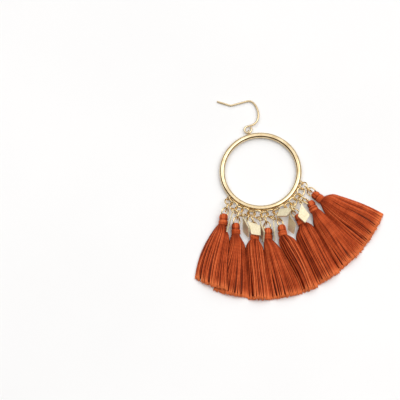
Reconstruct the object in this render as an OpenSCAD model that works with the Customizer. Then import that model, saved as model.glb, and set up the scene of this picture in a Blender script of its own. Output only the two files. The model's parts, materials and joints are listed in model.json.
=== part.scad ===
// Fan tassel earring: a hoop with a fish-hook ear wire above it, and a chain below it that
// carries eight thread tassels and eight kite charms. It lies on its back on a flat surface, z = 0.
// +Y runs from the fan of tassels to the ear hook, +Z stands up off the surface.
// Places are worked out about the hoop's centre. frame_shift then moves every piece, so that the
// origin is the middle of the whole outline, on the surface.

/* [Hoop] */
// Outer diameter of the hoop
hoop_d = 35.6; // [32:0.1:42]
// Thickness of the hoop's round wire
hoop_wire = 2.4; // [2:0.1:3]
// Wire of the small loops soldered to the hoop
loop_wire = 0.55; // [0.5:0.05:0.6]
// Outer diameter of the loop that holds the ear hook
top_loop_d = 2.4; // [2.3:0.05:2.4]
// Outer diameter of the two loops that hold the chain
end_loop_d = 2.4; // [2.3:0.05:2.5]

/* [Ear hook] */
// Wire of the ear hook
hook_wire = 0.8; // [0.7:0.05:0.9]
// Outer diameter of the curled eye at the hook's foot
hook_eye_d = 3.8; // [3.6:0.1:4.2]
// Height of the hook's arch above its eye
hook_arch = 11.3; // [10:0.1:13]
// Straight run from the arch to the kink
hook_run = 6.8; // [5:0.1:9]
// Straight end past the kink
hook_tip = 5.1; // [4.5:0.1:7]
// Turn of the kink, in degrees
hook_kink = 34; // [20:1:45]

/* [Chain] */
// Outer diameter of a chain link
link_d = 4.1; // [3.9:0.1:4.3]
// Wire of a chain link
link_wire = 0.6; // [0.5:0.05:0.65]
// Lean of each link about the chain's run, to one side and the other in turn, in degrees
link_tilt = 33; // [30:1:36]
// Height of the chain's middle above the hoop's middle
chain_lift = 0.6; // [0.5:0.05:0.8]

/* [Jump rings] */
// Outer diameter of the tassels' jump rings
jump_d = 4.5; // [4.3:0.1:4.8]
// Wire of the tassels' jump rings
jump_wire = 0.55; // [0.45:0.05:0.6]
// Outer diameter of the charms' jump rings
charm_ring_d = 3.4; // [3.2:0.1:3.6]
// Wire of the charms' jump rings
charm_ring_wire = 0.5; // [0.4:0.05:0.55]

/* [Tassels] */
// Length of a tassel's head, from the fold to the foot of its binding
head_len = 5.1; // [4.6:0.1:5.6]
// Width of a tassel's head
head_w = 3.9; // [3.6:0.1:4.1]
// Thickness of a tassel's head
head_t = 3.4; // [3.1:0.1:3.7]
// Depth of the fold over the jump ring, from the head's top to the ring's wire
fold_drop = 1.1; // [1:0.05:1.3]
// Length of a tassel's skirt below the binding
skirt_len = 26.4; // [22:0.2:32]
// Greatest thickness of a skirt of ordinary width
skirt_t = 4.2; // [3.6:0.1:4.8]
// Depth of the grooves between a skirt's locks
lock_depth = 0.35; // [0.1:0.05:0.45]

/* [Charms] */
// Length of a kite charm's plate
kite_len = 9.3; // [8.5:0.1:10]
// Width of a kite charm's plate
kite_w = 5.2; // [4.6:0.1:5.6]
// Thickness of a kite charm's plate
kite_t = 0.6; // [0.5:0.05:0.7]
// Outer diameter of the eye at the charm's top
eye_d = 1.9; // [1.8:0.1:2.2]
// Wire of the charm's eye
eye_wire = 0.4; // [0.35:0.05:0.45]

/* [Clearances] */
// Space between two metal pieces that hang in one another
metal_gap = 0.1; // [0.08:0.01:0.12]
// Space between a jump ring and the threads folded over it
fold_gap = 0.12; // [0.1:0.01:0.15]
// Space between the skirts of neighbouring tassels
skirt_gap = 0.25; // [0.2:0.05:0.4]

/* [Hidden] */
link_count = 15;
mid_link = (link_count + 1) / 2;
gold = "#e3cfa0";
rust = "#b4502c";
ring_fn = 40;
wire_fn = 16;

// Tassels, from the fan's left side to its right. link: the link it hangs from. reach: how far its
// two jump rings are drawn out, as a share of their full length. swing and head: how far the rings
// and the head turn from straight out of the hoop, in degrees. lean: the way its rings lean.
// crown: where across the skirt it is thickest. locks: how many locks the skirt shows.
// over: the neighbour that it lies on, or 0.
// Columns: link, reach, swing, head, lean, crown, locks, over
tassels = [
  [1, 0.84, 26, 40, 1, 0.42, 4, 2],
  [3, 0.94, 17, 29, 1, 0.66, 5, 0],
  [5, 1.00, 22, 12, -1, 0.50, 3, 0],
  [7, 0.95, 8, -7, -1, 0.50, 4, 0],
  [9, 0.92, -6, -10, 1, 0.50, 3, 0],
  [11, 0.81, 5, -12, -1, 0.50, 4, 0],
  [13, 0.78, 9, -27, 1, 0.50, 4, 0],
  [15, 0.755, -18, -20, -1, 0.50, 5, 0],
];
T_LINK = 0;
T_REACH = 1;
T_SWING = 2;
T_HEAD = 3;
T_LEAN = 4;
T_CROWN = 5;
T_LOCKS = 6;
T_OVER = 7;

// Seams between the skirts, with the fan's two outer sides first and last. Each is counted in links
// along the chain from its middle link, at three shares of the skirts' length.
seam_shares = [0.15, 0.5, 1];
seams = [
  [-6.17, -5.92, -5.27],
  [-4.4, -3.9, -3.35],
  [-2.9, -2.56, -2.22],
  [-1.3, -1.18, -1.05],
  [0.07, 0.44, 0.64],
  [1.66, 1.64, 1.54],
  [3.66, 3.26, 2.94],
  [5.23, 4.94, 4.72],
  [7.35, 7.31, 7.05],
];
// How far the second tassel runs on beneath the first, in links, at the same three shares
tuck = [0, 0.35, 0.8];

// Sections of a tassel's head: share of its length from the fold down, share of its width, share of
// its thickness. The waist at 0.6 is where the binding starts.
head_sections = [
  [0, 0.46, 0.48],
  [0.04, 0.72, 0.72],
  [0.12, 0.91, 0.91],
  [0.25, 1, 1],
  [0.45, 1, 1],
  [0.53, 0.87, 0.89],
  [0.6, 0.93, 0.95],
  [0.95, 0.92, 0.94],
];
neck_share = [0.88, 0.88];
// Thickness of a skirt as a share of skirt_t, at shares of its length
skirt_sections = [[0, 0.86], [0.12, 0.95], [0.35, 1], [0.7, 0.9], [1, 0.72]];
// Shares of the skirt's length at which it has a section
skirt_stations = [0.03, 0.07, 0.12, 0.18, 0.27, 0.38, 0.52, 0.68, 0.85, 1];
// Where the head's round section has turned into the skirt's flat one, as a share of the length
neck_blend = 0.16;
// Thickness at a skirt's edge, as a share of its thickness
edge_share = 0.18;
// Width up to which a skirt keeps its full thickness
full_width = 9;
over_points = 19;
under_points = 11;

// Kite charms, from left to right. link and slip: the link, and the place round its outer side in
// degrees. swing and lift: the turn and rise of its jump ring. lean: the ring's lean. head, pitch
// and roll: how the plate lies from its eye, in degrees.
// Columns: link, slip, swing, lift, lean, head, pitch, roll
charms = [
  [2, 41, 9, 50, -19, 21, 8, 89],
  [4, -24, 21, 66, 13, 34, -4, 64],
  [5, -21, -15, 5, 90, 49, 13, 17],
  [6, 36, 3, 49, -19, 12, -1, 70],
  [8, 17, 1, 45, -38, -10, 2, 90],
  [10, 26, 15, 31, -41, -18, 9, 50],
  [12, -35, -17, 59, 71, -100, 18, 21],
  [13, -26, -24, 22, 90, -44, 11, -10],
];
C_LINK = 0;
C_SLIP = 1;
C_SWING = 2;
C_LIFT = 3;
C_LEAN = 4;
C_HEAD = 5;
C_PITCH = 6;
C_ROLL = 7;

function names(word, count) = [for (i = [1 : count]) str(word, "_", i)];

function polar(r, a, z = 0) = [r * cos(a), r * sin(a), z];
function unit(v) = v / norm(v);
function bearing(v) = atan2(v.y, v.x);
function rise(v) = asin(v.z / norm(v));
function mix(a, b, t) = a + (b - a) * t;
function clip(t) = min(max(t, 0), 1);
function ease(t) = clip(t) * clip(t) * (3 - 2 * clip(t));
function mean(v, i = 0) = i == len(v) ? 0 : v[i] / len(v) + mean(v, i + 1);

// The hoop and the loops on it
hoop_r = (hoop_d - hoop_wire) / 2;
hoop_z = hoop_wire / 2;
top_loop_r = (top_loop_d - loop_wire) / 2;
end_loop_r = (end_loop_d - loop_wire) / 2;
top_loop_at = hoop_d / 2 + top_loop_r - loop_wire / 4;
end_loop_at = hoop_d / 2 + end_loop_r - loop_wire / 2;

// The chain: each link stands a wire and a gap inside the next, clear of the hoop's side
link_r = (link_d - link_wire) / 2;
chain_z = hoop_z + chain_lift;
link_low = chain_lift - link_r * sin(link_tilt);
hoop_clear = (hoop_wire + link_wire) / 2 + metal_gap;
chain_r = hoop_r + sqrt(hoop_clear ^ 2 - link_low ^ 2) + link_r * cos(link_tilt);
link_pitch = 2 * link_r - link_wire - metal_gap;
link_angle = 2 * asin(link_pitch / 2 / chain_r);
chain_mid = 267;
function link_a(i) = chain_mid + (i - mid_link) * link_angle;
function link_at(i) = polar(chain_r, link_a(i), chain_z);
function side_up(i) = i % 2 == 1 ? 1 : -1;
function link_roll(i) = -side_up(i) * link_tilt;

// The point round a link's outer side where something hangs
function hang_point(i, slip) =
  link_at(i)
  + link_r * cos(slip) * (polar(cos(link_tilt), link_a(i)) + [0, 0, side_up(i) * sin(link_tilt)])
  + link_r * sin(slip) * polar(1, link_a(i) + 90);

// How far the two end loops lean, in degrees
end_lean = 60;
// The angle from an end link to the soldered loop that holds it
end_reach = link_r + end_loop_r - (link_wire + loop_wire) / 2 - metal_gap;
end_turn = acos(
  (chain_r ^ 2 + end_loop_at ^ 2 + chain_lift ^ 2 - end_reach ^ 2) / (2 * chain_r * end_loop_at)
);

// A tassel's two jump rings run from the link to the eye, which is the fold in its head
jump_r = (jump_d - jump_wire) / 2;
jump_on_link = (link_wire + jump_wire) / 2 + metal_gap;
jump_on_jump = jump_wire + metal_gap;
ring_reach = 4 * jump_r - jump_on_link - jump_on_jump;
// How far a ring slides round its link, as a share of its swing
slip_share = 0.8;
// Lean of the upper and the lower ring about their pull, in degrees
upper_lean = 82;
lower_lean = -50;
head_z = head_t / 2;
function tassel_a(t) = link_a(t[T_LINK]);
function tassel_hang(t) = hang_point(t[T_LINK], slip_share * t[T_SWING]);
function tassel_eye(t) =
  let (w = tassel_hang(t), far = t[T_REACH] * ring_reach, drop = head_z - w.z)
  w + polar(sqrt(far ^ 2 - drop ^ 2), tassel_a(t) + t[T_SWING], drop);
function tassel_pull(t) = unit(tassel_eye(t) - tassel_hang(t));
function upper_centre(t) = tassel_hang(t) + tassel_pull(t) * (jump_r - jump_on_link);
function lower_centre(t) = tassel_eye(t) - tassel_pull(t) * jump_r;
function head_at(t, along) =
  tassel_eye(t) + polar(along * head_len - fold_drop, tassel_a(t) + t[T_HEAD]);
function neck_r(t) = norm([head_at(t, 1).x, head_at(t, 1).y]);
function neck_a(t) = (bearing(head_at(t, 1)) + 360) % 360;
fan_r = mean([for (t = tassels) neck_r(t)]);

// A seam's angle at a radius: the parabola through its three values
function through(v, f) =
  let (k = seam_shares)
  v[0] * (f - k[1]) * (f - k[2]) / ((k[0] - k[1]) * (k[0] - k[2]))
  + v[1] * (f - k[0]) * (f - k[2]) / ((k[1] - k[0]) * (k[1] - k[2]))
  + v[2] * (f - k[0]) * (f - k[1]) / ((k[2] - k[0]) * (k[2] - k[1]));
function seam_a(v, r) = chain_mid + link_angle * through(v, (r - fan_r) / skirt_len);

// The two sides of a skirt, as angles at a radius
function gap_a(r) = skirt_gap / r * 90 / PI;
function neck_half_a(t) = head_w * neck_share[0] / neck_r(t) * 90 / PI;
function tucked(i) = i > 0 && tassels[i - 1][T_OVER] == i + 1 ? seams[i] - tuck : seams[i];
function open_share(t, r) = sin(90 * clip((r - neck_r(t)) / skirt_len / neck_blend));
function left_a(i, r) =
  let (t = tassels[i])
  mix(neck_a(t) - neck_half_a(t), seam_a(tucked(i), r) + gap_a(r), open_share(t, r));
function right_a(i, r) =
  let (t = tassels[i])
  mix(neck_a(t) + neck_half_a(t), seam_a(seams[i + 1], r) - gap_a(r), open_share(t, r));

// Height of a skirt's top above its own underside: a crown with grooves between the locks
function skirt_width(i, r) = (right_a(i, r) - left_a(i, r)) * r * PI / 180;
function skirt_height(i, r) =
  let (s = clip((r - neck_r(tassels[i])) / skirt_len))
  skirt_t * lookup(s, skirt_sections) * sqrt(full_width / max(full_width, skirt_width(i, r)));
function off_crown(c, w) = w < c ? (c - w) / c : (w - c) / (1 - c);
function groove(t, s, w) =
  lock_depth * ease(s / neck_blend) * sin(180 * w) * (1 - cos(360 * t[T_LOCKS] * w)) / 2;
function crown(i, r, w) =
  skirt_height(i, r) * mix(1, edge_share, off_crown(tassels[i][T_CROWN], w) ^ 2.4);

// Height at which a skirt's underside lies: on the surface, or just above the neighbour beneath it
lap_rise = 3.4;
lap_margin = 0.7;
function lies_at(i, p) =
  let (j = tassels[i][T_OVER] - 1)
  j < 0 ? 0 :
  let (
    r = norm(p),
    in_a = (bearing(p) + 360) % 360 - left_a(j, r),
    in_mm = in_a * r * PI / 180,
    w = in_a / (right_a(j, r) - left_a(j, r))
  )
  ease((in_mm + lap_rise) / (lap_rise - lap_margin)) * (crown(j, r, clip(w)) + skirt_gap);

// One section of a tassel runs over its top from left to right, and back beneath
section_points = over_points + under_points;
function is_over(k) = k < over_points;
function share_at(k) =
  is_over(k) ? k / (over_points - 1) : 1 - (k - over_points + 1) / (under_points + 1);
function oval_z(k) = (is_over(k) ? 1 : -1) * sin(180 * share_at(k));
function head_point(t, row, k) =
  let (c = head_at(t, row[0]), side = -cos(180 * share_at(k)) * head_w / 2 * row[1])
  [c.x, c.y, head_z + oval_z(k) * head_t / 2 * row[2]]
  + polar(side, tassel_a(t) + t[T_HEAD] + 90);
function skirt_share(s, k) =
  mix((1 - cos(180 * share_at(k))) / 2, share_at(k), ease(s / neck_blend));
function skirt_plan(i, s, k) =
  let (r = neck_r(tassels[i]) + s * skirt_len)
  polar(r, mix(left_a(i, r), right_a(i, r), skirt_share(s, k)));
function skirt_point(i, s, k) =
  let (
    p = skirt_plan(i, s, k),
    w = skirt_share(s, k),
    top = crown(i, norm(p), w) - groove(tassels[i], s, w),
    z = lies_at(i, [p.x, p.y]) + (is_over(k) ? top : 0),
    oval = head_z + oval_z(k) * head_t / 2 * neck_share[1]
  )
  [p.x, p.y, mix(oval, z, ease(s / neck_blend))];
function tassel_points(i) = concat(
  [for (row = concat(head_sections, [[1, neck_share[0], neck_share[1]]]))
    for (k = [0 : section_points - 1]) head_point(tassels[i], row, k)],
  [for (s = skirt_stations) for (k = [0 : section_points - 1]) skirt_point(i, s, k)]
);
section_count = len(head_sections) + 1 + len(skirt_stations);
function quad(j, k) =
  let (a = j * section_points, b = a + section_points, n = (k + 1) % section_points)
  [[a + k, a + n, b + n], [a + k, b + n, b + k]];
tassel_faces = concat(
  [for (j = [0 : section_count - 2]) for (k = [0 : section_points - 1]) each quad(j, k)],
  [[for (k = [section_points - 1 : -1 : 0]) k]],
  [[for (k = [0 : section_points - 1]) (section_count - 1) * section_points + k]]
);

// A charm hangs by its eye from one jump ring
charm_ring_r = (charm_ring_d - charm_ring_wire) / 2;
ring_on_link = (link_wire + charm_ring_wire) / 2 + metal_gap;
eye_r = (eye_d - eye_wire) / 2;
kite_wide_share = 0.62;
function charm_a(c) = link_a(c[C_LINK]);
function charm_hang(c) = hang_point(c[C_LINK], c[C_SLIP]);
function charm_pull(c) =
  polar(cos(c[C_LIFT]), charm_a(c) + c[C_SWING], sin(c[C_LIFT]));
function charm_ring_centre(c) = charm_hang(c) + charm_pull(c) * (charm_ring_r - ring_on_link);
function charm_eye(c) = charm_hang(c) + charm_pull(c) * (2 * charm_ring_r - ring_on_link);

// The ear hook is one wire. It curls round into its eye, then rises through three bends of a
// sixth of a turn each. Its route holds the straight run, bend radius and turn of each stretch.
hook_eye_r = (hook_eye_d - hook_wire) / 2;
hook_eye_at = top_loop_at + hook_eye_r - (top_loop_r - loop_wire / 2 - hook_wire / 2 - metal_gap);
eye_opening = asin(1 - (hook_wire + metal_gap) * 1.1 / hook_eye_r);
hook_foot_run = 1.8;
hook_foot_r = 4.2;
hook_crook_r = 2.4;
hook_kink_r = 2.5;
hook_back_r = hook_arch - (hook_foot_r + hook_crook_r) / 2;
hook_route = [
  [0, hook_eye_r, -270 - eye_opening],
  [hook_foot_run, hook_foot_r, 60],
  [0, hook_back_r, 60],
  [0, hook_crook_r, 60],
  [hook_run, hook_kink_r, -hook_kink],
  [hook_tip, 0, 0],
];
hook_start = [0, hook_eye_at] + hook_eye_r * [cos(eye_opening), sin(eye_opening)];
hook_start_a = eye_opening - 90;
// The stretches meet in balls a hair thicker than the wire, and stop just short of each other there
joint_swell = 0.02;
joint_inset = hook_wire / 16;
function run_end(p, a, row) = p + row[0] * [cos(a), sin(a)];
function bend_end(p, a, row) =
  let (q = run_end(p, a, row), s = sign(row[2]), m = a + 90 * s)
  q + row[1] * [cos(m) - cos(m + row[2]), sin(m) - sin(m + row[2])];
function route_end(p, a, i = 0) =
  i == len(hook_route) ? p : route_end(bend_end(p, a, hook_route[i]), a + hook_route[i][2], i + 1);
hook_tip_at = route_end(hook_start, hook_start_a);

// The hook leans down from the hoop's top loop, until its far end rests on the surface
hook_rest_z = hook_wire * (1 + joint_swell) / 2;
hook_reach = hook_tip_at.y - hook_eye_at + hook_eye_r;
hook_slope = asin((hoop_z - hook_rest_z) / hook_reach);

// The outline's box, from the skirts' outlines and the hook's tip
skirt_plans = [
  for (i = [0 : len(tassels) - 1])
    for (s = skirt_stations)
      for (k = [0 : over_points - 1]) skirt_plan(i, s, k)
];
left_x = min([for (p = skirt_plans) p.x]);
right_x = max([for (p = skirt_plans) p.x]);
foot_y = min([for (p = skirt_plans) p.y]);
top_y = hook_tip_at.y + hook_wire / 2;
frame_shift = [-(left_x + right_x) / 2, -(foot_y + top_y) / 2, 0];

module ring(centre, along, roll, mid_r, wire) {
  translate(centre)
    rotate([roll, -rise(along), bearing(along)])
      rotate_extrude($fn = ring_fn)
        translate([mid_r, 0])
          circle(d = wire, $fn = wire_fn);
}

module end_loop(side) {
  i = side < 0 ? 1 : link_count;
  at = polar(end_loop_at, link_a(i) + side * end_turn, hoop_z);
  ring(at, link_at(i) - at, -side * end_lean, end_loop_r, loop_wire);
}

module hoop() {
  color(gold)
    translate(frame_shift) {
      ring([0, 0, hoop_z], [1, 0, 0], 0, hoop_r, hoop_wire, $fn = 96);
      ring([0, top_loop_at, hoop_z], [0, 1, 0], 90, top_loop_r, loop_wire);
      end_loop(-1);
      end_loop(1);
    }
}

module wire_ball(p, a) {
  translate(p)
    rotate([0, 90, a])
      sphere(d = hook_wire * (1 + joint_swell), $fn = wire_fn);
}

module wire_run(length) {
  translate([joint_inset, 0, 0])
    rotate([0, 90, 0])
      cylinder(d = hook_wire, h = length - 2 * joint_inset, $fn = wire_fn);
}

module wire_bend(radius, turn) {
  inset_a = joint_inset / radius * 180 / PI;
  translate([0, sign(turn) * radius, 0])
    rotate([0, 0, (turn > 0 ? -90 : 90 + turn) + inset_a])
      rotate_extrude(angle = abs(turn) - 2 * inset_a, $fn = ring_fn)
        translate([radius, 0])
          circle(d = hook_wire, $fn = wire_fn);
}

module hook_from(p, a, i = 0) {
  wire_ball(p, a);
  if (i < len(hook_route)) {
    row = hook_route[i];
    bend_start = run_end(p, a, row);
    if (row[0] > 0)
      translate(p) rotate([0, 0, a]) wire_run(row[0]);
    if (row[0] > 0 && row[1] > 0)
      wire_ball(bend_start, a);
    if (row[1] > 0)
      translate(bend_start) rotate([0, 0, a]) wire_bend(row[1], row[2]);
    hook_from(bend_end(p, a, row), a + row[2], i + 1);
  }
}

module ear_hook() {
  color(gold)
    translate(frame_shift + [0, hook_eye_at - hook_eye_r, hoop_z])
      rotate([-hook_slope, 0, 0])
        translate([0, hook_eye_r - hook_eye_at, 0])
          hook_from(hook_start, hook_start_a);
}

module link(i) {
  color(gold)
    translate(frame_shift)
      ring(link_at(i), polar(1, link_a(i) + 90), link_roll(i), link_r, link_wire);
}

module tassel_ring_upper(t) {
  color(gold)
    translate(frame_shift)
      ring(upper_centre(t), tassel_pull(t), t[T_LEAN] * upper_lean, jump_r, jump_wire);
}

module lower_ring(t, grown = 0) {
  ring(lower_centre(t), tassel_pull(t), t[T_LEAN] * lower_lean, jump_r, jump_wire + 2 * grown);
}

module tassel_ring_lower(t) {
  color(gold)
    translate(frame_shift)
      lower_ring(t);
}

module tassel(i) {
  color(rust)
    translate(frame_shift)
      difference() {
        polyhedron(points = tassel_points(i), faces = tassel_faces, convexity = 4);
        lower_ring(tassels[i], fold_gap);
      }
}

module charm_ring(c) {
  color(gold)
    translate(frame_shift)
      ring(charm_ring_centre(c), charm_pull(c), c[C_LEAN], charm_ring_r, charm_ring_wire);
}

module kite() {
  top = eye_r;
  wide = top + kite_len * kite_wide_share;
  translate([0, 0, -kite_t / 2])
    linear_extrude(kite_t)
      polygon([[top, 0], [wide, -kite_w / 2], [top + kite_len, 0], [wide, kite_w / 2]]);
}

module charm(c) {
  color(gold)
    translate(frame_shift + charm_eye(c))
      rotate([c[C_ROLL], -c[C_PITCH], charm_a(c) + c[C_HEAD]]) {
        kite();
        ring([0, 0, 0], [1, 0, 0], 0, eye_r, eye_wire);
      }
}

hoop();
ear_hook();
for (i = [1 : link_count])
  link(i);
for (i = [0 : len(tassels) - 1]) {
  tassel(i);
  tassel_ring_upper(tassels[i]);
  tassel_ring_lower(tassels[i]);
}
for (i = [0 : len(charms) - 1]) {
  charm(charms[i]);
  charm_ring(charms[i]);
}
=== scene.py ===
"""Tassel earring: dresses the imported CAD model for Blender.

The metal nodes keep their CAD meshes and get procedural golds. Each tassel solid is replaced by a
bundle of modelled threads: folded over the jump ring, bound at the neck and spread into the skirt.
"""
import json
import math
import random

import bpy
from mathutils import Matrix, Vector


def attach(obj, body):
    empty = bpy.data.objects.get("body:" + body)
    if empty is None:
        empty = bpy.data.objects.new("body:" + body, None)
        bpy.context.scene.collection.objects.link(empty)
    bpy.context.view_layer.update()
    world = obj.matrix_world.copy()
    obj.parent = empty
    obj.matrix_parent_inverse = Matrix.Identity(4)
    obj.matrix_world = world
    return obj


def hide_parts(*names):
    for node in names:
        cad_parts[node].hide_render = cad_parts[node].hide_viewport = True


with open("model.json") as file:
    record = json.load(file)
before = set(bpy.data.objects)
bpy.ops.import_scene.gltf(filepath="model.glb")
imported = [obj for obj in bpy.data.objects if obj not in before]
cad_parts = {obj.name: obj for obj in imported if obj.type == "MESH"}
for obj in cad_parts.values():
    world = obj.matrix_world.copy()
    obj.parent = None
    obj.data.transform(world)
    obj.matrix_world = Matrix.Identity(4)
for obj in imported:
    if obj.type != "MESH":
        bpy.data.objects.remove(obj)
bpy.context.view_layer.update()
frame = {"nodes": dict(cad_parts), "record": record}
MM = 0.001
SLOTS = {part["node"]: part["material_slot"] for part in frame["record"]["subparts"]}

# Sizes and places down to SKIRT_SECTIONS repeat part.scad's, in millimetres and degrees about the
# hoop's centre. SHIFT is where that centre lies in the frame.
SHIFT = (-2.61968, 10.5715)
HOOP_R, HOOP_WIRE = 16.6, 2.4
LINK_D, LINK_WIRE, LINK_TILT = 4.1, 0.6, 33
CHAIN_LIFT, GAP, CHAIN_MID = 0.6, 0.1, 267
JUMP_D, JUMP_WIRE = 4.5, 0.55
HEAD_LEN, HEAD_W, HEAD_T, FOLD_DROP = 5.1, 3.9, 3.4, 1.1
SKIRT_LEN, SKIRT_T, SKIRT_GAP = 26.4, 4.2, 0.25
SLIP_SHARE, NECK_BLEND, FULL_WIDTH = 0.8, 0.16, 9
EDGE_SHARE, EDGE_POWER = 0.18, 2.4
NECK_SHARE = (0.88, 0.88)
LAP_RISE, LAP_MARGIN = 3.4, 0.7

# For each tassel, from the fan's left to its right: its link, how far its rings are drawn out as a
# share of their full length, how far the rings and the head turn from straight out of the hoop,
# where across the skirt it is thickest, and the neighbour that it lies on, or 0.
TASSELS = [
    (1, 0.84, 26, 40, 0.42, 2),
    (3, 0.94, 17, 29, 0.66, 0),
    (5, 1.00, 22, 12, 0.50, 0),
    (7, 0.95, 8, -7, 0.50, 0),
    (9, 0.92, -6, -10, 0.50, 0),
    (11, 0.81, 5, -12, 0.50, 0),
    (13, 0.78, 9, -27, 0.50, 0),
    (15, 0.755, -18, -20, 0.50, 0),
]

# The seams between skirts, with the fan's outer sides first and last, in links along the chain from
# its middle, at three shares of the skirts' length.
SEAM_SHARES = (0.15, 0.5, 1)
SEAMS = [
    (-6.17, -5.92, -5.27),
    (-4.4, -3.9, -3.35),
    (-2.9, -2.56, -2.22),
    (-1.3, -1.18, -1.05),
    (0.07, 0.44, 0.64),
    (1.66, 1.64, 1.54),
    (3.66, 3.26, 2.94),
    (5.23, 4.94, 4.72),
    (7.35, 7.31, 7.05),
]

# How far a skirt runs on beneath the one that lies on it, in links, at the same three shares
TUCK = (0, 0.35, 0.8)

# Sections of the head, as shares of its length, width and thickness, and of the skirt, as shares of
# its length and thickness
HEAD_SECTIONS = [
    (0, 0.46, 0.48),
    (0.04, 0.72, 0.72),
    (0.12, 0.91, 0.91),
    (0.25, 1, 1),
    (0.45, 1, 1),
    (0.53, 0.87, 0.89),
    (0.6, 0.93, 0.95),
    (0.95, 0.92, 0.94),
    (1, NECK_SHARE[0], NECK_SHARE[1]),
]
SKIRT_SECTIONS = [(0, 0.86), (0.12, 0.95), (0.35, 1), (0.7, 0.9), (1, 0.72)]

# Beside a neighbour the threads reach this far past the solid's side, growing from a share of the
# skirt's length over another share.
SPILL, SPILL_START, SPILL_RUN = 0.28, 0.05, 0.2


def cosd(a):
    return math.cos(math.radians(a))


def sind(a):
    return math.sin(math.radians(a))


def mix(a, b, t):
    return a + (b - a) * t


def clip(t, low=0.0, high=1.0):
    return min(max(t, low), high)


def ease(t):
    """A smooth step from 0 to 1."""
    t = clip(t)
    return t * t * (3 - 2 * t)


def bell(t):
    """1 at 0, falling off smoothly on both sides."""
    return math.exp(-t ** 2)


def lookup(x, table):
    """Value at x in rows of (x, value...), straight between rows."""
    if x <= table[0][0]:
        return table[0][1:]
    for low, high in zip(table, table[1:]):
        if x <= high[0]:
            t = (x - low[0]) / (high[0] - low[0])
            return tuple(mix(a, b, t) for a, b in zip(low[1:], high[1:]))
    return table[-1][1:]


def in_frame(x, y, z):
    """A point given in millimetres about the hoop's centre, in the frame's metres."""
    return ((x + SHIFT[0]) * MM, (y + SHIFT[1]) * MM, z * MM)


# The chain and the places of the tassels' heads
LINK_R = (LINK_D - LINK_WIRE) / 2
HOOP_Z = HOOP_WIRE / 2
CHAIN_Z = HOOP_Z + CHAIN_LIFT
LINK_LOW = CHAIN_LIFT - LINK_R * sind(LINK_TILT)
HOOP_CLEAR = (HOOP_WIRE + LINK_WIRE) / 2 + GAP
CHAIN_R = HOOP_R + math.sqrt(HOOP_CLEAR ** 2 - LINK_LOW ** 2) + LINK_R * cosd(LINK_TILT)
LINK_PITCH = 2 * LINK_R - LINK_WIRE - GAP
LINK_ANGLE = 2 * math.degrees(math.asin(LINK_PITCH / 2 / CHAIN_R))
MIDDLE_LINK = 8
JUMP_R = (JUMP_D - JUMP_WIRE) / 2
RING_REACH = 4 * JUMP_R - (LINK_WIRE + JUMP_WIRE) / 2 - JUMP_WIRE - 2 * GAP
HEAD_Z = HEAD_T / 2


def link_angle(i):
    return CHAIN_MID + (i - MIDDLE_LINK) * LINK_ANGLE


def hang_point(i, slip):
    """Where a jump ring hangs in link i, slipped round it by an angle."""
    a, up = link_angle(i), 1 if i % 2 else -1
    out = CHAIN_R + LINK_R * cosd(slip) * cosd(LINK_TILT)
    along = LINK_R * sind(slip)
    return (
        out * cosd(a) - along * sind(a),
        out * sind(a) + along * cosd(a),
        CHAIN_Z + LINK_R * cosd(slip) * up * sind(LINK_TILT),
    )


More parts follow.
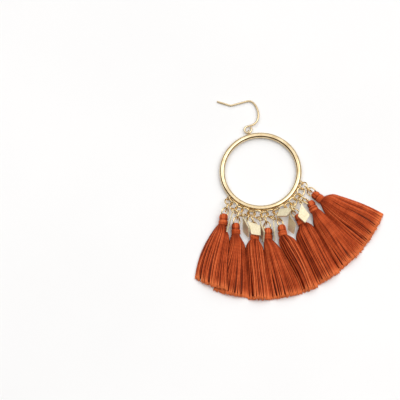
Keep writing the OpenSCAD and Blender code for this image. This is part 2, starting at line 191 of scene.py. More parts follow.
class Tassel:
    """One tassel's shape: the same surfaces as its CAD solid, at any depth below its top."""

    def __init__(self, index):
        link, reach, swing, head, self.crown_at, over = TASSELS[index]
        self.index = index
        self.has_left, self.has_right = index > 0, index < len(TASSELS) - 1
        a = link_angle(link)
        hang = hang_point(link, SLIP_SHARE * swing)
        far, drop = reach * RING_REACH, HEAD_Z - hang[2]
        flat = math.sqrt(far ** 2 - drop ** 2)
        self.eye = (hang[0] + flat * cosd(a + swing), hang[1] + flat * sind(a + swing))
        self.head_a = a + head
        self.over = over - 1
        foot = self.head_at(1)
        self.neck_r = math.hypot(*foot)
        self.neck_a = math.degrees(math.atan2(foot[1], foot[0])) % 360
        tucked = self.has_left and TASSELS[index - 1][5] == index + 1
        self.left = tuple(s - t for s, t in zip(SEAMS[index], TUCK)) if tucked else SEAMS[index]
        self.right = SEAMS[index + 1]

    def head_at(self, share):
        """Middle of the head at a share of its length."""
        out = share * HEAD_LEN - FOLD_DROP
        return (self.eye[0] + out * cosd(self.head_a), self.eye[1] + out * sind(self.head_a))

    def sides(self, r):
        """The angles of the skirt's two sides at a radius."""
        opened = math.sin(math.pi / 2 * clip((r - self.neck_r) / SKIRT_LEN / NECK_BLEND))
        half = math.degrees(HEAD_W * NECK_SHARE[0] / 2 / self.neck_r)
        spare = math.degrees(SKIRT_GAP / r / 2)
        return (
            mix(self.neck_a - half, seam_angle(self.left, r) + spare, opened),
            mix(self.neck_a + half, seam_angle(self.right, r) - spare, opened),
        )

    def top(self, r, w):
        """Height of the skirt above its own underside."""
        left, right = self.sides(r)
        width = math.radians(right - left) * r
        s = clip((r - self.neck_r) / SKIRT_LEN)
        thinned = math.sqrt(FULL_WIDTH / max(FULL_WIDTH, width))
        height = SKIRT_T * lookup(s, SKIRT_SECTIONS)[0] * thinned
        if w < self.crown_at:
            off = (self.crown_at - w) / self.crown_at
        else:
            off = (w - self.crown_at) / (1 - self.crown_at)
        return height * mix(1, EDGE_SHARE, clip(off) ** EDGE_POWER)

    def lies_at(self, r, a):
        """Height at which the skirt's underside lies."""
        if self.over < 0:
            return 0.0
        below = SHAPES[self.over]
        left, right = below.sides(r)
        into = math.radians(a - left) * r
        w = clip((a - left) / (right - left))
        return ease((into + LAP_RISE) / (LAP_RISE - LAP_MARGIN)) * (below.top(r, w) + SKIRT_GAP)

    def skirt(self, s, w, depth, inset):
        """A point of the skirt. depth is 1 at the top and 0 underneath; inset keeps it inside."""
        r = self.neck_r + s * SKIRT_LEN
        left, right = self.sides(r)
        opened = ease(s / NECK_BLEND)
        round_w = (1 - math.cos(math.pi * w)) / 2
        spill = math.degrees(SPILL * ease((s - SPILL_START) / SPILL_RUN) / r)
        low_a = left - spill if self.has_left else left
        high_a = right + spill if self.has_right else right
        margin = math.degrees(inset / r)
        a = clip(mix(low_a, high_a, mix(round_w, w, opened)), low_a + margin, high_a - margin)
        low = self.lies_at(r, a) + inset
        high = low - inset + self.top(r, clip((a - left) / (right - left))) - inset
        flat_z = mix(low, max(high, low), depth)
        swell = math.sin(math.pi * w) * (HEAD_T / 2 * NECK_SHARE[1] - inset)
        round_z = HEAD_Z + mix(-swell, swell, depth)
        return (r * cosd(a), r * sind(a), mix(round_z, flat_z, opened))

    def head(self, share, across, depth, inset):
        """A point of the head. across runs from -1 to 1, depth from 0 underneath to 1 on top."""
        centre = self.head_at(share)
        wide, thick = lookup(share, HEAD_SECTIONS)
        side = -across * (HEAD_W / 2 * wide - inset)
        up = math.sqrt(max(0, 1 - across ** 2)) * (HEAD_T / 2 * thick - inset)
        b = self.head_a + 90
        return (
            centre[0] - side * cosd(b),
            centre[1] - side * sind(b),
            HEAD_Z + mix(-up, up, depth),
        )


def seam_angle(values, r):
    """The angle of a seam at a radius, on a parabola through the seam's three places."""
    f, k = (r - FAN_R) / SKIRT_LEN, SEAM_SHARES
    place = (
        values[0] * (f - k[1]) * (f - k[2]) / ((k[0] - k[1]) * (k[0] - k[2]))
        + values[1] * (f - k[0]) * (f - k[2]) / ((k[1] - k[0]) * (k[1] - k[2]))
        + values[2] * (f - k[0]) * (f - k[1]) / ((k[2] - k[0]) * (k[2] - k[1]))
    )
    return CHAIN_MID + LINK_ANGLE * place


SHAPES = [Tassel(i) for i in range(len(TASSELS))]
FAN_R = sum(t.neck_r for t in SHAPES) / len(SHAPES)


class Strands:
    """Collects tubes in one mesh. In its UV map, u runs round a tube and v along it."""

    def __init__(self):
        self.verts, self.faces, self.uvs, self.tones = [], [], [], []

    def rings(self, points, radii, sides, closed):
        """Adds the rings of vertices of a tube, without a twist from one to the next."""
        count = len(points)
        side = None
        for n, p in enumerate(points):
            if closed:
                along = points[(n + 1) % count] - points[n - 1]
            else:
                along = points[min(n + 1, count - 1)] - points[max(n - 1, 0)]
            along.normalize()
            if side is None:
                side = along.cross(Vector((0, 0, 1)))
                if side.length < 0.1:
                    side = along.cross(Vector((1, 0, 0)))
            side = (side - along * side.dot(along)).normalized()
            up = side.cross(along)
            for k in range(sides):
                turn = 2 * math.pi * k / sides
                q = p + radii[n] * (side * math.cos(turn) + up * math.sin(turn))
                self.verts.append(in_frame(*q))

    def tube(self, points, radii, sides, tones, start=0.0, end=1.0, closed=False):
        """Adds a tube. tones holds its tone at each point, painted shade included; start and end are
        its ends' v.
        """
        count = len(points)
        base = len(self.verts)
        self.rings([Vector(p) for p in points], radii, sides, closed)
        spans = count if closed else count - 1
        for n in range(spans):
            after = (n + 1) % count
            a, b = base + n * sides, base + after * sides
            v0, v1 = mix(start, end, n / spans), mix(start, end, (n + 1) / spans)
            for k in range(sides):
                k1 = (k + 1) % sides
                self.faces.append((a + k, a + k1, b + k1, b + k))
                u0, u1 = k / sides, (k + 1) / sides
                self.uvs += [(u0, v0), (u1, v0), (u1, v1), (u0, v1)]
                self.tones += [tones[n], tones[n], tones[after], tones[after]]
        if not closed:
            for n, v in ((0, start), (count - 1, end)):
                ring = [base + n * sides + k for k in range(sides)]
                self.faces.append(tuple(reversed(ring)) if n == 0 else tuple(ring))
                self.uvs += [(0.5, v)] * sides
                self.tones += [tones[n]] * sides

    def build(self, name, material):
        """Makes the mesh and an object that holds it."""
        mesh = bpy.data.meshes.new(name)
        mesh.from_pydata(self.verts, [], self.faces)
        uv = mesh.uv_layers.new(name="thread")
        uv.data.foreach_set("uv", [c for pair in self.uvs for c in pair])
        # The tone attribute holds each thread's tone with painted shade in it
        tone = mesh.attributes.new("tone", "FLOAT", "CORNER")
        tone.data.foreach_set("value", self.tones)
        mesh.polygons.foreach_set("use_smooth", [True] * len(mesh.polygons))
        mesh.materials.append(material)
        mesh.update()
        piece = bpy.data.objects.new(name, mesh)
        bpy.context.scene.collection.objects.link(piece)
        return piece


# Materials
def node_tree(name):
    """A new material, its node tree and its shader."""
    material = bpy.data.materials.new(name)
    material.use_nodes = True
    tree = material.node_tree
    shader = next(n for n in tree.nodes if n.type == "BSDF_PRINCIPLED")
    return material, tree, shader


def add(tree, kind, **values):
    """Adds a node; keys name its properties, or its inputs where the node has no such property."""
    node = tree.nodes.new(kind)
    for key, value in values.items():
        if hasattr(node, key):
            setattr(node, key, value)
        else:
            node.inputs[key.replace("_", " ")].default_value = value
    return node


def ramp(tree, source, stops):
    """Colours by a value, from stops of (value, colour)."""
    node = tree.nodes.new("ShaderNodeValToRGB")
    elements = node.color_ramp.elements
    while len(elements) < len(stops):
        elements.new(0.5)
    for element, (place, colour) in zip(elements, stops):
        element.position = place
        element.color = (*colour, 1)
    tree.links.new(source, node.inputs["Fac"])
    return node.outputs["Color"]


def relief(tree, shader, source, strength, depth):
    """Bump on a shader, of a depth in metres."""
    bump = add(tree, "ShaderNodeBump", Strength=strength, Distance=depth)
    tree.links.new(source, bump.inputs["Height"])
    tree.links.new(bump.outputs["Normal"], shader.inputs["Normal"])


def grey(v):
    return (v, v, v)


TARNISH_SCALE = 220.0
DARK_UNTIL, LIGHT_FROM = 0.36, 0.6
SMOOTHEST, ROUGHEST = 0.7, 1.4
METAL_RELIEF = 0.00005


def gold_material(name, light, dark, rough, grain, bump, speckle, metallic=1.0):
    """Plated metal: slight tarnish and speckle in its colour, uneven polish and a fine grain."""
    material, tree, shader = node_tree(name)
    place = add(tree, "ShaderNodeTexCoord").outputs["Object"]
    cloud = add(tree, "ShaderNodeTexNoise", Scale=TARNISH_SCALE, Detail=4.0, Roughness=0.6)
    fine = add(tree, "ShaderNodeTexNoise", Scale=grain, Detail=6.0, Roughness=0.7)
    for noise in (cloud, fine):
        tree.links.new(place, noise.inputs["Vector"])
    blend = add(tree, "ShaderNodeMix", data_type="FLOAT")
    blend.inputs["Factor"].default_value = speckle
    tree.links.new(cloud.outputs["Fac"], blend.inputs["A"])
    tree.links.new(fine.outputs["Fac"], blend.inputs["B"])
    colour = ramp(tree, blend.outputs["Result"], [(DARK_UNTIL, dark), (LIGHT_FROM, light)])
    tree.links.new(colour, shader.inputs["Base Color"])
    polish = [(0.25, grey(rough * SMOOTHEST)), (0.75, grey(rough * ROUGHEST))]
    tree.links.new(ramp(tree, fine.outputs["Fac"], polish), shader.inputs["Roughness"])
    relief(tree, shader, fine.outputs["Fac"], bump, METAL_RELIEF)
    shader.inputs["Metallic"].default_value = metallic
    return material


# The ply term also darkens the colour in the twist's grooves: painted shade
PLY_TURNS, PLIES, PLY_PAINTED_SHADE = 24.0, 2.0, 0.04
FUZZ_SCALE, FUZZ_SHARE = 5200.0, 0.8
DRIFT_SCALE, DRIFT_SHADE = 260.0, 0.5
# Painted highlight along the top of each strand and painted shade on its flanks
TOP_LIGHT_MIDDLE, TOP_LIGHT_AND_FLANK_SHADE = 0.7, 0.26
THREAD_COLOURS = [
    (0.0, (0.08, 0.004, 0.001)),
    (0.35, (0.33, 0.038, 0.008)),
    (0.65, (0.58, 0.092, 0.023)),
    (1.0, (0.80, 0.19, 0.06)),
]
TIP_START, TIP_RISE, TIP_MOST = 0.86, 6.0, 0.8
TIP_COLOUR = (1.0, 0.27, 0.085, 1)
THREAD_BUMP, THREAD_RELIEF = 0.35, 0.00004
THREAD_GLOSS = {
    "Roughness": 0.46,
    "Specular IOR Level": 0.3,
    "Specular Tint": (1.0, 0.6, 0.36, 1),
    "Sheen Weight": 0.06,
    "Sheen Roughness": 0.4,
    "Sheen Tint": (1.0, 0.4, 0.18, 1),
}


def thread_material():
    """Rust-orange silky thread: two plies twisted along each strand, paler at the cut ends.
    Its colour holds painted shade and a painted highlight: from the tone attribute, in the twist's
    grooves and round each strand.
    """
    material, tree, shader = node_tree("thread_rust")
    links = tree.links
    uv = add(tree, "ShaderNodeUVMap", uv_map="thread").outputs["UV"]
    split = add(tree, "ShaderNodeSeparateXYZ")
    links.new(uv, split.inputs[0])
    around, along = split.outputs["X"], split.outputs["Y"]
    # tone: the thread's own tone with painted shade in it
    tone = add(tree, "ShaderNodeAttribute", attribute_name="tone").outputs["Fac"]
    place = add(tree, "ShaderNodeTexCoord").outputs["Object"]

    def maths(operation, a, b=0.0):
        node = add(tree, "ShaderNodeMath", operation=operation)
        for socket, value in zip(node.inputs, (a, b)):
            if isinstance(value, float):
                socket.default_value = value
            else:
                links.new(value, socket)
        return node.outputs[0]

    turns = maths("ADD", maths("MULTIPLY", along, PLY_TURNS), maths("MULTIPLY", around, PLIES))
    ply = maths("SINE", maths("MULTIPLY", turns, 2 * math.pi))
    fuzz = add(tree, "ShaderNodeTexNoise", Scale=FUZZ_SCALE, Detail=4.0, Roughness=0.7)
    drift = add(tree, "ShaderNodeTexNoise", Scale=DRIFT_SCALE, Detail=3.0)
    for noise in (fuzz, drift):
        links.new(place, noise.inputs["Vector"])

    cloud = maths("MULTIPLY", maths("SUBTRACT", drift.outputs["Fac"], 0.5), DRIFT_SHADE)
    shade = maths("ADD", tone, cloud)
    # Painted shade in the twist's grooves
    shade = maths("ADD", shade, maths("MULTIPLY", ply, PLY_PAINTED_SHADE))
    # Painted highlight along the strand's top, painted shade on its flanks
    painted_top_light = maths("SINE", maths("MULTIPLY", around, 2 * math.pi))
    painted_top_light = maths("MULTIPLY", maths("SUBTRACT", painted_top_light, TOP_LIGHT_MIDDLE), TOP_LIGHT_AND_FLANK_SHADE)
    shade = maths("ADD", shade, painted_top_light)
    tip = maths("MULTIPLY", maths("SUBTRACT", along, TIP_START), TIP_RISE)
    tip = maths("MINIMUM", maths("MAXIMUM", tip, 0.0), TIP_MOST)
    blend = add(tree, "ShaderNodeMix", data_type="RGBA")
    links.new(tip, blend.inputs["Factor"])
    links.new(ramp(tree, shade, THREAD_COLOURS), blend.inputs["A"])
    blend.inputs["B"].default_value = TIP_COLOUR
    links.new(blend.outputs["Result"], shader.inputs["Base Color"])

    fibres = maths("ADD", ply, maths("MULTIPLY", fuzz.outputs["Fac"], FUZZ_SHARE))
    relief(tree, shader, fibres, THREAD_BUMP, THREAD_RELIEF)
    for key, value in THREAD_GLOSS.items():
        shader.inputs[key].default_value = value
    return material


GOLD = gold_material(
    "gold_polished", light=(0.80, 0.65, 0.42), dark=(0.60, 0.44, 0.24),
    rough=0.07, grain=1800.0, bump=0.1, speckle=0.25,
)
CHAIN_GOLD = gold_material(
    "gold_chain", light=(0.98, 0.79, 0.46), dark=(0.66, 0.45, 0.19),
    rough=0.15, grain=1800.0, bump=0.2, speckle=0.4,
)
CHARM_GOLD = gold_material(
    "gold_satin", light=(0.93, 0.84, 0.60), dark=(0.68, 0.58, 0.36),
    rough=0.38, grain=2200.0, bump=1.0, speckle=0.8, metallic=0.58,
)
THREAD = thread_material()

for name, node in frame["nodes"].items():
    finish = {"gold": GOLD, "charm_gold": CHARM_GOLD}.get(SLOTS[name])
    if finish and (name.startswith("link_") or "_ring_" in name):
        finish = CHAIN_GOLD
    if finish:
        for slot in node.material_slots:
            slot.material = finish


# Threads. Along a skirt, s is a share of its length. Across it, w runs from 0 at its left side to 1.
THREAD_R, THREAD_PITCH, LAYER = 0.29, 0.68, 0.5
THREAD_SIDES = 7
STATIONS = [
    0, 0.02, 0.045, 0.075, 0.11, 0.16, 0.22, 0.3, 0.38,
    0.47, 0.56, 0.65, 0.74, 0.83, 0.91, 0.96, 1,
]

# Layers from the top that part and fray
LOOSE_LAYERS = 2

# A thread's start inside the head, and how its radius grows with its column's width
ROOT_SHARES, ROOT_R, ROOT_INSET = (0.8, 0.9), 0.16, 0.34
THINNEST_R, PITCH_SHARE = 0.09, 0.42

# Differences from thread to thread. The first three are in columns.
PLACE_SPREAD, DRIFT_SPREAD, SWAY = 0.07, 0.12, 0.2
SWAY_RATE, WAVES, EDGE_ROOM = 4, (0.6, 1.4), 0.005
SINK_SPREAD, SINK_ODD, SINK_RATE = 0.07, 0.09, 3
SIZES, LENGTH_SPREAD = (0.92, 1.06), 0.008

# Tones, from 0 for dark to 1 for pale, and what is taken from them or added. What is taken off for
# lower layers, sunk threads, the neck, partings and the valleys beside a neighbour is painted shade.
TONE, TONE_SPREAD, DARKEST = 0.66, 0.10, 0.05
LOCKS, LOCK_SPREAD = 7, 0.05
DEEP_PAINTED_SHADE, SINK_PAINTED_SHADE, NECK_PAINTED_SHADE, END_LIFT = 0.5, 1.4, 0.2, 0.1
SEAM_PAINTED_SHADE, SEAM_START = 0.24, 0.38
SEAM_FADE, SEAM_FADE_START, SEAM_FADE_RUN = 0.7, 0.3, 0.5

# Partings: ranges of where they start along the skirt, their reach across it and their opening in
# columns, then their wave and their groove, with painted shade in the groove
PART_STARTS, PART_REACHES, PART_OPENINGS = (0.1, 0.5), (0.05, 0.11), (0.15, 0.4)
PART_COUNTS, PART_PLACES = (2, 3, 4), (0.25, 0.75)
PART_RUN, PART_EDGE = 0.4, 0.2
WAVE, WAVE_RATE, WAVE_REACH, WAVE_RUN = 0.014, 5, 0.2, 0.3
GROOVE_REACH, GROOVE_DEPTH, GROOVE_PAINTED_SHADE = 0.5, 0.13, 0.12


def partings(rng):
    """Where a skirt's threads part: place across, start along, reach, opening in columns, phase."""
    count = PART_COUNTS[rng.randrange(len(PART_COUNTS))]
    return [
        (
            clip((k + rng.uniform(*PART_PLACES)) / count, PART_EDGE, 1 - PART_EDGE),
            rng.uniform(*PART_STARTS),
            rng.uniform(*PART_REACHES),
            rng.uniform(*PART_OPENINGS),
            rng.uniform(0, 2 * math.pi),
        )
        for k in range(count)
    ]


def parted(w, s, splits, columns):
    """Where a thread that starts at w lies at s, and how deep in a parting, from 0 to 1."""
    shift = groove = 0.0
    for where, start, reach, amount, phase in splits:
        off = w - where
        grown = ease((s - start) / PART_RUN)
        shift += math.copysign(amount / columns, off) * bell(off / reach) * grown
        wave = WAVE * math.sin(WAVE_RATE * s + phase)
        shift += wave * bell(off / WAVE_REACH) * ease(s / WAVE_RUN)
        groove += bell(off / (GROOVE_REACH * reach)) * grown
    inner = ease(min(w, 1 - w) / PART_EDGE)
    return w + shift * inner, clip(groove) * inner


def painted_seam_shade(shape, w):
    """Painted shade: how much darker a thread is in the valley beside a neighbour."""
    beside = shape.has_left if w < 0.5 else shape.has_right
    return SEAM_PAINTED_SHADE * ease((abs(w - 0.5) - SEAM_START) / (0.5 - SEAM_START)) if beside else 0.0


class SkirtThread:
    """One thread of a skirt, with its own place, wave, depth, size and length."""

    def __init__(self, shape, rng, column, columns, layer, layers):
        self.shape, self.columns, self.layer = shape, columns, layer
        self.depth = 1 - layer / (layers - 1)
        place = (column + 0.5) / columns + (0.5 / columns if layer % 2 else 0)
        place += rng.gauss(0, PLACE_SPREAD) / columns
        self.start_w = clip(place, EDGE_ROOM, 1 - EDGE_ROOM)
        self.phase, self.waves = rng.uniform(0, 2 * math.pi), rng.uniform(*WAVES)
        self.drift = rng.gauss(0, DRIFT_SPREAD) / columns
        self.sunk = 0.0
        if layer == 0:
            self.sunk = SINK_SPREAD * abs(rng.gauss(0, 1)) + SINK_ODD * (column % 2)
        self.size = rng.uniform(*SIZES)
        self.length = 1 + rng.gauss(0, LENGTH_SPREAD)

    def path(self, splits):
        """Points and radii from inside the head to the cut end, and how deep in a parting each is."""
        shape, columns = self.shape, self.columns
        across = -math.cos(math.pi * self.start_w)
        points = [shape.head(share, across, self.depth, ROOT_INSET) for share in ROOT_SHARES]
        radii, grooves = [ROOT_R] * len(points), [0] * len(points)
        for station in STATIONS:
            s = station * self.length
            r_at = shape.neck_r + s * SKIRT_LEN
            left, right = shape.sides(r_at)
            pitch = math.radians(right - left) * r_at / columns
            r = self.size * min(THREAD_R, THINNEST_R + PITCH_SHARE * pitch)
            sway = math.sin(self.phase + self.waves * 2 * math.pi * s) * SWAY / columns
            sway += self.drift * s
            w, groove = self.start_w, 0
            if self.layer < LOOSE_LAYERS:
                w, groove = parted(w, s, splits, columns)
            w = clip(w + sway * ease(s * SWAY_RATE))
            inset = r + self.sunk * ease(s * SINK_RATE)
            if self.layer == 0:
                inset += GROOVE_DEPTH * groove
            points.append(shape.skirt(s, w, self.depth, inset))
            radii.append(r)
            grooves.append(groove)
        return points, radii, grooves

    def tones(self, tone, grooves):
        """Tones along it, with painted shade: darker at the neck, in a parting and beside a
        neighbour.
        """
        valley = painted_seam_shade(self.shape, self.start_w)
        tones = []
        for s, groove in zip([0] * len(ROOT_SHARES) + STATIONS, grooves):
            shade = tone - NECK_PAINTED_SHADE * (1 - ease(s / NECK_BLEND)) + END_LIFT * (s - 0.5)
            shade -= GROOVE_PAINTED_SHADE * groove
            # Painted shade in the valley beside a neighbour, fading along the skirt
            shade -= valley * (1 - SEAM_FADE * ease((s - SEAM_FADE_START) / SEAM_FADE_RUN))
            tones.append(clip(shade, DARKEST))
        return tones


def skirt_threads(shape, strands, rng):
    """The skirt: columns of threads side by side, each in layers from the top down."""
    end_r = shape.neck_r + SKIRT_LEN
    left, right = shape.sides(end_r)
    columns = round(math.radians(right - left) * end_r / THREAD_PITCH)
    splits = partings(rng)
    lock_tones = [rng.gauss(0, LOCK_SPREAD) for _ in range(LOCKS)]
    mean_tone = TONE - sum(lock_tones) / LOCKS
    for column in range(columns):
        tall = shape.top(end_r, (column + 0.5) / columns)
        layers = max(2, round((tall - 2 * THREAD_R) / LAYER) + 1)
        for layer in range(layers):
            thread = SkirtThread(shape, rng, column, columns, layer, layers)
            points, radii, grooves = thread.path(splits)
            tone = mean_tone + rng.gauss(0, TONE_SPREAD)
            tone += lock_tones[int(thread.start_w * (LOCKS - 0.01))]
            # Painted shade: lower layers and sunk threads darker
            tone -= DEEP_PAINTED_SHADE * (1 - thread.depth)
            tone -= SINK_PAINTED_SHADE * thread.sunk
            strands.tube(points, radii, THREAD_SIDES, thread.tones(tone, grooves))
            if layer < LOOSE_LAYERS:
                frayed_end(strands, rng, points, radii[-1], tone)


FIBRES, FIBRE_SIDES = 2, 4
FIBRE_RADII, FIBRE_STATIONS = [0.05, 0.045, 0.03], (0, 0.5, 1)
FIBRE_LENGTHS, FIBRE_BENDS, FIBRE_RISE = (0.25, 0.6), (0.2, 0.7), 0.6
FIBRE_ROOT, FIBRE_OFF, FIBRE_LOWEST, FIBRE_LIFT = 0.3, 0.6, 0.06, 0.1


def frayed_end(strands, rng, points, r, tone):
    """Loose fibres at a thread's cut end."""
    end, along = Vector(points[-1]), (Vector(points[-1]) - Vector(points[-2])).normalized()
    tones = [clip(tone + FIBRE_LIFT)] * len(FIBRE_RADII)
    for _ in range(FIBRES):
        side = Vector((rng.gauss(0, 1), rng.gauss(0, 1), rng.gauss(0, FIBRE_RISE)))
        side = (side - along * side.dot(along)).normalized()
        reach, bend = rng.uniform(*FIBRE_LENGTHS), rng.uniform(*FIBRE_BENDS)
        path = []
        for t in FIBRE_STATIONS:
            out = side * r * (FIBRE_OFF + bend * t * t)
            q = end - along * FIBRE_ROOT + out + along * (FIBRE_ROOT + reach) * t
            path.append((q.x, q.y, max(q.z, FIBRE_LOWEST)))
        strands.tube(path, FIBRE_RADII, FIBRE_SIDES, tones, start=0.97)


CORE_INSET, CORE_AROUND, CORE_PAINTED_SHADE = 0.55, 20, 0.22
CORE_HEAD_SHARES = (0.2, 0.4, 0.6, 0.8)
CORE_HEAD_SIDE, CORE_SKIRT_EDGE = 0.999, 0.04


def core(shape, strands):
    """A body inside the threads, so that no light comes through between them. Its dark colour is
    painted shade.
    """
    around = CORE_AROUND
    rings = []
    for share in CORE_HEAD_SHARES:
        ring = []
        for k in range(around):
            across = math.cos(2 * math.pi * k / around) * CORE_HEAD_SIDE
            ring.append(shape.head(share, across, 1.0 if k < around / 2 else 0.0, CORE_INSET))
        rings.append(ring)
    for s in STATIONS[1:-1]:
        ring = []
        for k in range(around):
            over = k < around / 2
            t = 2 * k / around if over else 2 - 2 * k / around
            w = 1 - clip(t, CORE_SKIRT_EDGE, 1 - CORE_SKIRT_EDGE)
            ring.append(shape.skirt(s, w, 1.0 if over else 0.0, CORE_INSET))
        rings.append(ring)
    base = len(strands.verts)
    strands.verts += [in_frame(*point) for ring in rings for point in ring]
    last = base + (len(rings) - 1) * around
    faces = []
    for a in range(base, last, around):
        for k in range(around):
            k1 = (k + 1) % around
            faces.append((a + k, a + k1, a + around + k1, a + around + k))
    faces.append(tuple(base + k for k in reversed(range(around))))
    faces.append(tuple(last + k for k in range(around)))
    for face in faces:
        strands.faces.append(face)
        strands.uvs += [(0.5, 0.5)] * len(face)
        strands.tones += [CORE_PAINTED_SHADE] * len(face)


HEAD_COUNTS = (10, 9)
HEAD_SHARES = (0.7, 0.6, 0.5, 0.4, 0.3, 0.2, 0.12, 0.06, 0.02)
HEAD_SIDE, HEAD_SIDE_SPREAD = 0.93, 0.015
HEAD_RADII, HEAD_LAYER, HEAD_SINK_SPREAD = (0.22, 0.26), 0.34, 0.08
HEAD_TONE, HEAD_TONE_SPREAD = 0.62, 0.16
# Painted shade on the head: its inner layer, its sides, the fold's front and towards the binding
# darker
HEAD_DEEP_PAINTED_SHADE, HEAD_SIDE_PAINTED_SHADE, HEAD_FRONT_PAINTED_SHADE = 0.25, 0.3, 0.2
BIND_PAINTED_SHADE, BIND_SHADE_START, BIND_SHADE_RUN = 0.42, 0.38, 0.18


def head_threads(shape, strands, rng):
    """Threads folded over the jump ring, in two layers, with painted shade: darker in the inner
    layer, at the sides, at the fold's front and towards the binding.
    """
    for layer, count in enumerate(HEAD_COUNTS):
        for k in range(count):
            across = mix(-HEAD_SIDE, HEAD_SIDE, k / (count - 1)) + rng.gauss(0, HEAD_SIDE_SPREAD)
            r = rng.uniform(*HEAD_RADII)
            inset = r + HEAD_LAYER * layer + max(0, rng.gauss(0, HEAD_SINK_SPREAD))
            over = [shape.head(share, across, 1, inset) for share in HEAD_SHARES]
            under = [shape.head(share, across, 0, inset) for share in reversed(HEAD_SHARES)]
            front = shape.head(0.0, across, 0.5, inset)
            tone = HEAD_TONE + rng.gauss(0, HEAD_TONE_SPREAD) - HEAD_DEEP_PAINTED_SHADE * layer
            tone -= HEAD_SIDE_PAINTED_SHADE * abs(across) ** 3
            fade = [
                tone - BIND_PAINTED_SHADE * ease((share - BIND_SHADE_START) / BIND_SHADE_RUN)
                for share in HEAD_SHARES
            ]
            tones = fade + [tone - HEAD_FRONT_PAINTED_SHADE] + fade[::-1]
            tones = [clip(t, DARKEST) for t in tones]
            path = over + [front] + under
            strands.tube(path, [r] * len(path), THREAD_SIDES, tones, end=0.9)


BIND_TURNS, BIND_R, BIND_POINTS = 5, 0.23, 28
BIND_START, BIND_END = 0.62, 0.95
BIND_SWELL, BIND_BULGE, BIND_TILT = 0.16, 0.06, 0.06
BIND_TONE, BIND_TONE_SPREAD = 0.66, 0.1


def binding(shape, strands, rng):
    """The thread wound round the neck, kept above the table."""
    a, b = shape.head_a, shape.head_a + 90
    for k in range(BIND_TURNS):
        share = mix(BIND_START, BIND_END, k / (BIND_TURNS - 1))
        wide, thick = lookup(share, HEAD_SECTIONS)
        centre = shape.head_at(share)
        tilt = rng.gauss(0, BIND_TILT)
        swell = BIND_SWELL + BIND_BULGE * math.sin(math.pi * (k + 0.5) / BIND_TURNS)
        half_w = HEAD_W / 2 * wide - BIND_R + swell
        half_t = HEAD_T / 2 * thick - BIND_R + swell
        ring = []
        for n in range(BIND_POINTS):
            turn = 2 * math.pi * n / BIND_POINTS
            side, slant = math.cos(turn) * half_w, tilt * math.cos(turn)
            ring.append((
                centre[0] + side * cosd(b) + slant * cosd(a),
                centre[1] + side * sind(b) + slant * sind(a),
                max(HEAD_Z + math.sin(turn) * half_t, BIND_R),
            ))
        tones = [clip(BIND_TONE + rng.gauss(0, BIND_TONE_SPREAD))] * BIND_POINTS
        strands.tube(ring, [BIND_R] * BIND_POINTS, THREAD_SIDES, tones, end=0.4, closed=True)


SEED = 40
for shape in SHAPES:
    number = shape.index + 1
    rng = random.Random(SEED + number)
    strands = Strands()
    core(shape, strands)
    skirt_threads(shape, strands, rng)
    head_threads(shape, strands, rng)
    binding(shape, strands, rng)
    piece = strands.build(f"tassel_threads_{number}", THREAD)
    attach(piece, "root")
    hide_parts(f"tassel_{number}")


# Camera, in the photograph's direction
TURN, TILT = 15.7, 72
LENS, SENSOR, VIEW_WIDTH = 600, 36, 172.7
AIM = (-28.7, -5.29, 1.2)
view_ahead = Vector((cosd(TILT) * sind(TURN), cosd(TILT) * cosd(TURN), -sind(TILT)))
view_right = Vector((cosd(TURN), -sind(TURN), 0))
view_up = view_right.cross(view_ahead)
target = Vector(in_frame(*AIM))
distance = VIEW_WIDTH * MM * LENS / SENSOR
camera_data = bpy.data.cameras.new("camera")
camera_data.lens = LENS
camera_data.sensor_width = SENSOR
camera_data.clip_start = 0.01
camera_data.clip_end = 20
camera = bpy.data.objects.new("camera", camera_data)
bpy.context.scene.collection.objects.link(camera)
axes = Matrix((view_right, view_up, -view_ahead)).transposed().to_4x4()
camera.matrix_world = Matrix.Translation(target - view_ahead * distance) @ axes
bpy.context.scene.camera = camera


# White table
TABLE_HALF = 1.5


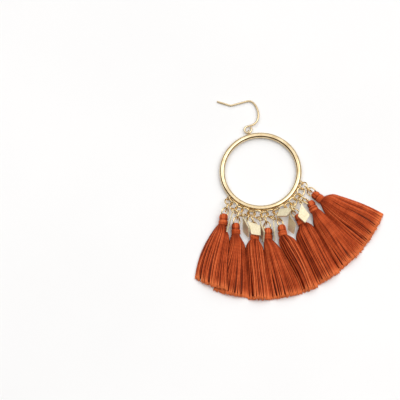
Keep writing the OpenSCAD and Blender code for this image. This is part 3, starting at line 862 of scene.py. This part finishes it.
def table():
    corners = [(x * TABLE_HALF, y * TABLE_HALF, 0) for x, y in ((-1, -1), (1, -1), (1, 1), (-1, 1))]
    mesh = bpy.data.meshes.new("table")
    mesh.from_pydata(corners, [], [(0, 1, 2, 3)])
    material, tree, shader = node_tree("table_white")
    noise = add(tree, "ShaderNodeTexNoise", Scale=9.0, Detail=3.0)
    tree.links.new(add(tree, "ShaderNodeTexCoord").outputs["Object"], noise.inputs["Vector"])
    colour = ramp(tree, noise.outputs["Fac"], [(0.3, grey(0.90)), (0.7, grey(0.93))])
    tree.links.new(colour, shader.inputs["Base Color"])
    shader.inputs["Roughness"].default_value = 0.7
    shader.inputs["Specular IOR Level"].default_value = 0.2
    mesh.materials.append(material)
    piece = bpy.data.objects.new("table", mesh)
    bpy.context.scene.collection.objects.link(piece)


table()


# Light: a white ceiling over dark warm walls, and two large soft lamps
CEILING_LEAN_RIGHT, CEILING_LEAN_AHEAD = 0.16, 0.3
WALLS_TO_CEILING = [
    (0.0, (0.04, 0.03, 0.02)),
    (0.56, (0.05, 0.03, 0.015)),
    (0.66, (0.84, 0.83, 0.82)),
    (0.8, (1.0, 1.0, 1.0)),
]
ROOM_STRENGTH = 1.33


def room():
    """The surroundings. Their ceiling leans to the camera's far right."""
    world = bpy.data.worlds.new("room")
    bpy.context.scene.world = world
    world.use_nodes = True
    tree = world.node_tree
    background = next(n for n in tree.nodes if n.type == "BACKGROUND")
    towards = add(tree, "ShaderNodeVectorMath", operation="DOT_PRODUCT")
    tree.links.new(add(tree, "ShaderNodeTexCoord").outputs["Generated"], towards.inputs[0])
    level = Vector((view_ahead.x, view_ahead.y, 0)).normalized()
    lean = CEILING_LEAN_RIGHT * view_right + CEILING_LEAN_AHEAD * level
    towards.inputs[1].default_value = Vector((0, 0, 1)) + lean
    sky = ramp(tree, towards.outputs["Value"], WALLS_TO_CEILING)
    tree.links.new(sky, background.inputs["Color"])
    background.inputs["Strength"].default_value = ROOM_STRENGTH


def lamp(name, direction, elevation, reach, size, power):
    """A round lamp that looks at the earring from a direction in the photograph's own axes."""
    data = bpy.data.lights.new(name, "AREA")
    data.shape = "DISK"
    data.size = size
    data.energy = power
    piece = bpy.data.objects.new(name, data)
    a = direction - TURN
    place = Vector((cosd(elevation) * cosd(a), cosd(elevation) * sind(a), sind(elevation))) * reach
    facing = place.to_track_quat("Z", "Y").to_matrix().to_4x4()
    piece.matrix_world = Matrix.Translation(place) @ facing
    bpy.context.scene.collection.objects.link(piece)


room()
lamp("lamp_right", direction=10, elevation=62, reach=1.2, size=1.0, power=3.6)
lamp("lamp_top", direction=150, elevation=46, reach=1.4, size=1.0, power=2.0)
bpy.context.scene.view_settings.view_transform = "Standard"
bpy.context.scene.view_settings.look = "None"
